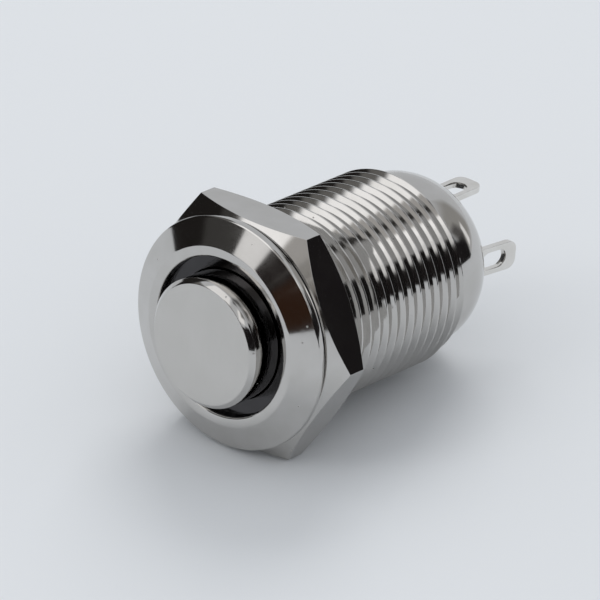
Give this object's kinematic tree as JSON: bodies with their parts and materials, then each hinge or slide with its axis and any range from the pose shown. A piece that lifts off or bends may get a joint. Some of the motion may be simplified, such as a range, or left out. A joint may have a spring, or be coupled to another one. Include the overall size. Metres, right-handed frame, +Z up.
{
  "type": "anti vandal push button",
  "caption": "Round metal panel push button: proud flat cap in a bevelled flange, threaded barrel with a hexagon nut and rubber gasket, rolled rear end with slotted solder lugs",
  "frame": {"origin": "On the switch axis, in the plane of the flange's rear face, which bears on the panel through the gasket", "axes": "+Y along the switch axis from the button to the solder lugs, +Z up towards the upper lug, +X to the side lug; the nut has a flat below"},
  "size_m": [0.0162, 0.0234, 0.014],
  "materials": {
    "polished_nickel": "bright nickel plate on turned brass",
    "satin_nickel": "nickel plate, finely brushed on the face and bright at the side",
    "black_rubber": "matt nitrile rubber",
    "moulded_black": "moulded glass-filled nylon",
    "plain_steel": "drawn stainless wire and turned steel",
    "copper_alloy": "rolled phosphor bronze strip",
    "contact_silver": "struck silver alloy",
    "silvered_lug": "silver plate on stamped brass",
    "poured_resin": "cured black epoxy"
  },
  "bodies": {
    "housing": {"housing": "polished_nickel", "panel_gasket": "black_rubber", "return_spring": "plain_steel", "switch_chamber": "moulded_black", "fixed_contact_1": "contact_silver", "fixed_contact_2": "contact_silver", "terminal_upper": "silvered_lug", "terminal_side": "silvered_lug", "base": "moulded_black", "rear_sealing": "poured_resin"},
    "button": {"button_cap": "satin_nickel", "cap_seal": "black_rubber", "plunger_head": "moulded_black", "plunger_stem": "plain_steel", "stem_clip": "plain_steel", "contact_spring": "plain_steel"},
    "bridge": {"contact_bridge": "copper_alloy", "moving_contact_1": "contact_silver", "moving_contact_2": "contact_silver"},
    "nut": {"hex_nut": "polished_nickel"}
  },
  "joints": [
    {"name": "button_press", "type": "slide", "parent": "housing", "child": "button", "axis": [0, 1, 0], "range_m": [0, 0.0014], "stiffness_N_per_m": 620, "springref_m": -0.0024, "deforming": ["return_spring", "contact_spring"]},
    {"name": "contact_close", "type": "slide", "parent": "housing", "child": "bridge", "axis": [0, 1, 0], "range_m": [0, 0.0008]},
    {"name": "nut_travel", "type": "slide", "parent": "housing", "child": "nut", "axis": [0, 1, 0], "range_m": [0, 0.0109]}
  ],
  "couplings": [
    {"joint": "contact_close", "follows": "button_press", "ratio": 0.5714}
  ]
}
